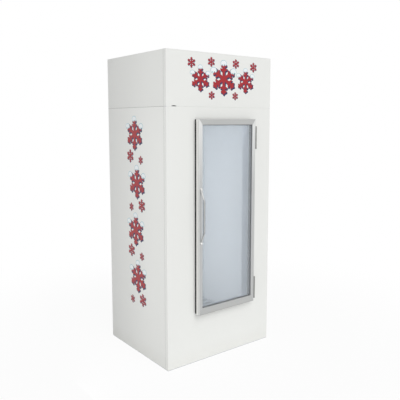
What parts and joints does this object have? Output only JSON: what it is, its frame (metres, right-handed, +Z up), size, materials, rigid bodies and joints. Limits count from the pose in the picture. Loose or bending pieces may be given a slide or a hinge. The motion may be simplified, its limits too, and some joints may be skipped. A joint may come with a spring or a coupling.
{
  "type": "ice merchandiser freezer",
  "caption": "Upright white ice merchandiser freezer with a framed glass door in front and a refrigeration unit under a cover on top.",
  "frame": {"origin": "bottom centre of the whole part's box, on the floor", "axes": "+Z up, the door and the front face towards -Y, +X to the right when seen from the front"},
  "size_m": [0.915, 0.855, 2.1],
  "materials": {
    "white_sheet": "satin white powder coat",
    "galvanised": "galvanised sheet",
    "liner_sheet": "pale blue-white coated sheet",
    "foam": "rigid foam",
    "jamb_plastic": "satin grey plastic",
    "white_plastic": "plain",
    "copper_tube": "drawn copper",
    "fin_aluminium": "plain fins",
    "black_steel": "semi-gloss black enamel",
    "black_plastic": "moulded",
    "red_plastic": "moulded",
    "black_rubber": "soft seal",
    "motor_steel": "plain",
    "door_aluminium": "satin anodised",
    "door_glass": "clear",
    "spacer": "warm-edge spacer",
    "handle_steel": "satin",
    "hinge_steel": "satin",
    "opal": "opal"
  },
  "bodies": {
    "cabinet": {"base_rails": "galvanised", "base_cross_rails": "galvanised", "bottom_panel": "galvanised", "side_panel_left": "white_sheet", "side_panel_right": "white_sheet", "back_panel": "galvanised", "front_panel": "white_sheet", "deck_panel": "galvanised", "insulation": "foam", "liner_left": "liner_sheet", "liner_right": "liner_sheet", "liner_back": "liner_sheet", "liner_floor": "liner_sheet", "liner_ceiling": "liner_sheet", "liner_front": "liner_sheet", "opening_jamb": "jamb_plastic", "evaporator_coil": "copper_tube", "floor_rack": "galvanised", "drain_tube": "white_plastic", "light_housing": "door_aluminium", "light_diffuser": "opal", "head_posts": "galvanised", "head_side_left": "white_sheet", "head_side_right": "white_sheet", "head_top": "white_sheet", "head_back": "galvanised", "unit_base": "galvanised", "compressor": "black_steel", "compressor_grommets": "black_rubber", "terminal_cover": "black_plastic", "condenser_core": "fin_aluminium", "condenser_tubes": "copper_tube", "fan_shroud": "galvanised", "fan_motor": "motor_steel", "filter_drier": "copper_tube", "discharge_line": "copper_tube", "liquid_line": "copper_tube", "suction_line": "copper_tube", "control_box": "galvanised", "cable_gland": "black_plastic", "hinge_plates": "hinge_steel", "hinge_pins": "hinge_steel"},
    "door": {"door_stile_handle": "door_aluminium", "door_stile_hinge": "door_aluminium", "door_rail_top": "door_aluminium", "door_rail_bottom": "door_aluminium", "glass_outer": "door_glass", "glass_middle": "door_glass", "glass_inner": "door_glass", "glass_spacers": "spacer", "glazing_seal": "black_rubber", "door_gasket": "black_rubber", "door_handle": "handle_steel", "handle_screws": "handle_steel", "hinge_leaves": "hinge_steel"},
    "head_cover": {"head_cover": "white_sheet"},
    "fan": {"fan_blade": "black_plastic"},
    "thermostat": {"thermostat_knob": "black_plastic"},
    "switch": {"switch_rocker": "red_plastic"}
  },
  "joints": [
    {"name": "door_swing", "type": "hinge", "parent": "cabinet", "child": "door", "pos_m": [0.2765, -0.3845, 1], "axis": [0, 0, 1], "range_deg": [0, 110], "stiffness_Nm_per_rad": 3},
    {"name": "cover_pull", "type": "slide", "parent": "cabinet", "child": "head_cover", "axis": [0, -1, 0], "range_m": [0, 0.25]},
    {"name": "fan_spin", "type": "hinge", "parent": "cabinet", "child": "fan", "pos_m": [-0.1, 0.2545, 1.873], "axis": [0, 1, 0], "continuous": true},
    {"name": "thermostat_turn", "type": "hinge", "parent": "cabinet", "child": "thermostat", "pos_m": [-0.2535, -0.2905, 1.843], "axis": [0, -1, 0], "range_deg": [-135, 135]},
    {"name": "switch_rock", "type": "hinge", "parent": "cabinet", "child": "switch", "pos_m": [-0.3291, -0.2865, 1.843], "axis": [1, 0, 0], "range_deg": [-20, 0]}
  ]
}
